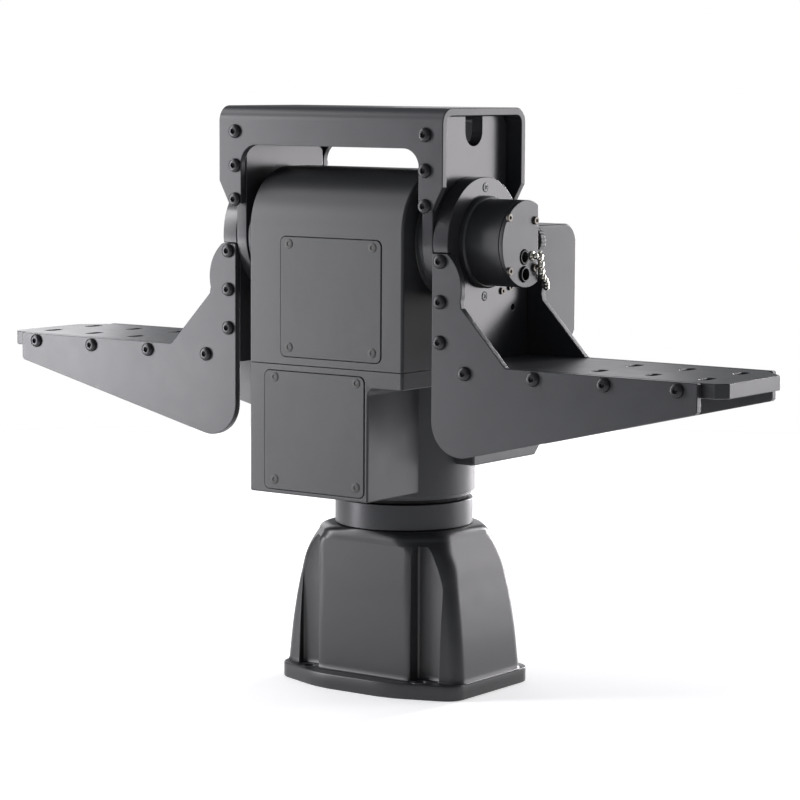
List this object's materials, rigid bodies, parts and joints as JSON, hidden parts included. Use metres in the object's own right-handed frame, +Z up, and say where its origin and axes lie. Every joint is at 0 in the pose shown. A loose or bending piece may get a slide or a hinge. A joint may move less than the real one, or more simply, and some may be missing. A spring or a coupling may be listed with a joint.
{
  "type": "pan-tilt unit",
  "caption": "Motorised pan-tilt unit: flared base, panning head with a tilting payload yoke, a top bracket and two slotted side shelves.",
  "frame": {"origin": "pan axis at the underside of the base", "axes": "+Z up along the pan axis, -Y towards the front access covers, +X along the tilt axis towards the payload connectors"},
  "size_m": [0.5712, 0.2038, 0.3835],
  "materials": {
    "casting": "black satin powder coat on cast aluminium",
    "plate": "black hard-coat on aluminium plate, satin",
    "cover": "black satin coat",
    "anodised": "black anodised, turned",
    "steel": "ground steel",
    "bronze": "machined bronze",
    "nickel": "nickel plated, satin",
    "screw": "stainless, dull",
    "motor": "dark plated can",
    "rubber": "matt",
    "black_plastic": "matt moulded",
    "circuit": "green solder mask"
  },
  "bodies": {
    "base": {"base_casting": "casting", "base_plate": "plate", "base_connector": "nickel", "neck_ring": "anodised", "pan_spindle": "steel", "slip_ring": "black_plastic", "pan_bearing_lower": "steel", "pan_bearing_upper": "steel", "pan_worm_wheel": "bronze"},
    "head": {"lower_casting": "casting", "upper_casting": "casting", "upper_cover": "cover", "upper_cover_gasket": "rubber", "lower_cover": "cover", "lower_cover_gasket": "rubber", "pan_seal": "rubber", "pan_motor": "motor", "pan_worm_block": "anodised", "tilt_motor": "motor", "tilt_worm_block": "anodised", "control_board": "circuit", "tilt_bearing_left": "steel", "tilt_bearing_right": "steel", "housing_seal": "rubber"},
    "yoke": {"tilt_shaft": "steel", "tilt_worm_wheel": "bronze", "top_channel": "plate", "hub_left": "anodised", "hub_right": "anodised", "channel_end_left": "plate", "channel_end_right": "plate", "bracket_end_left": "plate", "bracket_end_right": "plate", "hub_bolt_left_top": "screw", "hub_bolt_left_bottom": "screw", "hub_bolt_right_top": "screw", "hub_bolt_right_bottom": "screw", "front_plate_left": "plate", "front_plate_right": "plate", "rear_plate_left": "plate", "rear_plate_right": "plate", "shelf_left": "plate", "shelf_right": "plate", "connector_housing": "casting", "connector_cap": "plate", "signal_port": "black_plastic", "power_port": "nickel", "side_port": "nickel", "dust_cap": "black_plastic", "dust_cap_tether": "nickel", "blanking_cap": "anodised"},
    "pan_drive": {"pan_worm": "steel"},
    "tilt_drive": {"tilt_worm": "steel"}
  },
  "joints": [
    {"name": "pan", "type": "hinge", "parent": "base", "child": "head", "pos_m": [0, 0, 0.127], "axis": [0, 0, 1], "range_deg": [-168, 168]},
    {"name": "tilt", "type": "hinge", "parent": "head", "child": "yoke", "pos_m": [0, -0.0392, 0.299], "axis": [1, 0, 0], "range_deg": [-30, 80]},
    {"name": "pan_worm_turn", "type": "hinge", "parent": "head", "child": "pan_drive", "pos_m": [0, -0.0315, 0.161], "axis": [1, 0, 0], "continuous": true},
    {"name": "tilt_worm_turn", "type": "hinge", "parent": "head", "child": "tilt_drive", "pos_m": [-0.015, 0, 0.2615], "axis": [0, 1, 0], "continuous": true}
  ],
  "couplings": [
    {"joint": "pan_worm_turn", "follows": "pan", "ratio": -40},
    {"joint": "tilt_worm_turn", "follows": "tilt", "ratio": -48}
  ]
}
